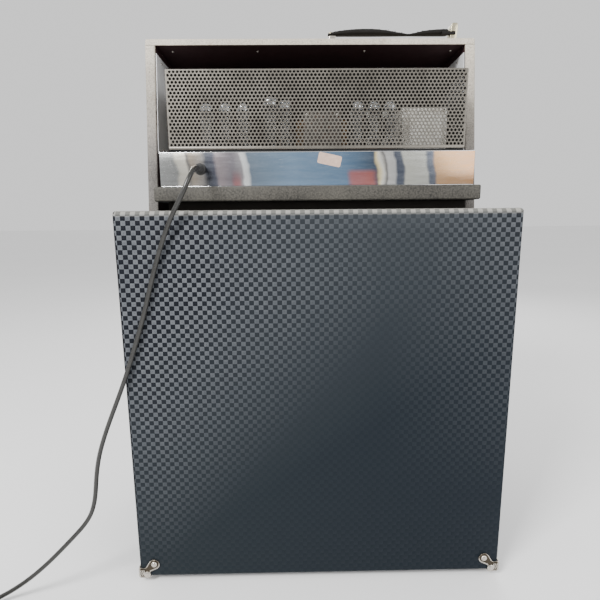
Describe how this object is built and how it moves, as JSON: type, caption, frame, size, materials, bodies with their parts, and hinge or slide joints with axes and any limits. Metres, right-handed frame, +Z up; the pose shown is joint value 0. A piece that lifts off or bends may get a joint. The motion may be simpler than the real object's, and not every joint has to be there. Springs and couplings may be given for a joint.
{
  "type": "guitar amplifier",
  "caption": "Valve amplifier head with a perforated cage and open-ended lift-off cover, standing on a closed-back speaker cabinet, with its mains lead.",
  "frame": {"origin": "on the floor under the middle of the cabinet, without the mains lead", "axes": "+Z up, -Y towards the rear that carries the mains lead, +Y towards the control panel and loudspeaker, +X to the right for someone behind the amplifier"},
  "size_m": [0.894, 0.525, 0.9401],
  "materials": {
    "cabinet_vinyl": "basket-weave embossed vinyl",
    "black_paint": "black paint on plywood",
    "grille_cloth": "woven grille cloth",
    "nickel_plate": "worn nickel plate",
    "rubber": "moulded rubber",
    "black_lacquer": "black lacquer",
    "cone_paper": "pressed paper",
    "dark_tolex": "pebbled vinyl over plywood",
    "grey_tolex": "pebbled vinyl over plywood",
    "chassis_chrome": "polished chrome plate",
    "black_plastic": "moulded plastic",
    "bright_metal": "chrome plate",
    "red_lens": "clear red lens",
    "cage_steel": "perforated sheet, satin",
    "cream_paint": "cream enamel",
    "valve_glass": "clear glass envelope",
    "shield_aluminium": "bright sheet",
    "strap_leather": "black padded leather",
    "cord_rubber": "rubber sheath"
  },
  "bodies": {
    "cabinet_and_head": {"cabinet_back": "cabinet_vinyl", "cabinet_left_side": "cabinet_vinyl", "cabinet_right_side": "cabinet_vinyl", "cabinet_top": "cabinet_vinyl", "cabinet_bottom": "cabinet_vinyl", "cabinet_baffle": "black_paint", "grille_cloth": "grille_cloth", "grille_trim": "nickel_plate", "foot_rear_left": "rubber", "corner_rear_left": "nickel_plate", "foot_rear_right": "rubber", "corner_rear_right": "nickel_plate", "foot_front_left": "rubber", "corner_front_left": "nickel_plate", "foot_front_right": "rubber", "corner_front_right": "nickel_plate", "speaker_frame": "black_lacquer", "speaker_cone": "cone_paper", "head_plinth": "black_paint", "head_baseboard": "dark_tolex", "chassis": "chassis_chrome", "control_panel": "black_plastic", "input_jack_1": "bright_metal", "input_jack_2": "bright_metal", "power_toggle_nut": "bright_metal", "standby_toggle_nut": "bright_metal", "pilot_lamp": "red_lens", "cage_gasket": "rubber", "valve_cage": "cage_steel", "output_transformer": "black_lacquer", "mains_transformer": "cream_paint", "valve_1": "valve_glass", "valve_2": "valve_glass", "valve_3": "valve_glass", "valve_4": "valve_glass", "valve_5": "valve_glass", "valve_6": "valve_glass", "valve_7": "valve_glass", "valve_8": "valve_glass", "mains_strain_relief": "rubber", "mains_cord": "cord_rubber", "mains_cord_coil": "cord_rubber", "mains_cord_tail": "cord_rubber", "mains_plug": "black_plastic"},
    "cover": {"cover_left_side": "grey_tolex", "cover_right_side": "grey_tolex", "cover_top": "grey_tolex", "cover_front": "dark_tolex", "left_heat_shield": "shield_aluminium", "right_heat_shield": "shield_aluminium", "handle_bracket_left": "nickel_plate", "handle_bracket_right": "nickel_plate", "handle_strap": "strap_leather"},
    "volume_knob": {"volume_knob": "black_plastic"},
    "treble_knob": {"treble_knob": "black_plastic"},
    "bass_knob": {"bass_knob": "black_plastic"},
    "tremolo_speed_knob": {"tremolo_speed_knob": "black_plastic"},
    "tremolo_depth_knob": {"tremolo_depth_knob": "black_plastic"},
    "power_toggle": {"power_toggle": "bright_metal"},
    "standby_toggle": {"standby_toggle": "bright_metal"}
  },
  "joints": [
    {"name": "cover_lift", "type": "slide", "parent": "cabinet_and_head", "child": "cover", "axis": [0, 0, 1], "range_m": [0, 0.26]},
    {"name": "volume_knob_turn", "type": "hinge", "parent": "cabinet_and_head", "child": "volume_knob", "pos_m": [0.12, 0.1423, 0.68405], "axis": [0, 1, 0], "range_deg": [-150, 150]},
    {"name": "treble_knob_turn", "type": "hinge", "parent": "cabinet_and_head", "child": "treble_knob", "pos_m": [0.066, 0.1423, 0.68405], "axis": [0, 1, 0], "range_deg": [-150, 150]},
    {"name": "bass_knob_turn", "type": "hinge", "parent": "cabinet_and_head", "child": "bass_knob", "pos_m": [0.012, 0.1423, 0.68405], "axis": [0, 1, 0], "range_deg": [-150, 150]},
    {"name": "tremolo_speed_knob_turn", "type": "hinge", "parent": "cabinet_and_head", "child": "tremolo_speed_knob", "pos_m": [-0.042, 0.1423, 0.68405], "axis": [0, 1, 0], "range_deg": [-150, 150]},
    {"name": "tremolo_depth_knob_turn", "type": "hinge", "parent": "cabinet_and_head", "child": "tremolo_depth_knob", "pos_m": [-0.096, 0.1423, 0.68405], "axis": [0, 1, 0], "range_deg": [-150, 150]},
    {"name": "power_toggle_flip", "type": "hinge", "parent": "cabinet_and_head", "child": "power_toggle", "pos_m": [-0.184, 0.1423, 0.68405], "axis": [1, 0, 0], "range_deg": [-28, 0]},
    {"name": "standby_toggle_flip", "type": "hinge", "parent": "cabinet_and_head", "child": "standby_toggle", "pos_m": [-0.15, 0.1423, 0.68405], "axis": [1, 0, 0], "range_deg": [-28, 0]}
  ]
}
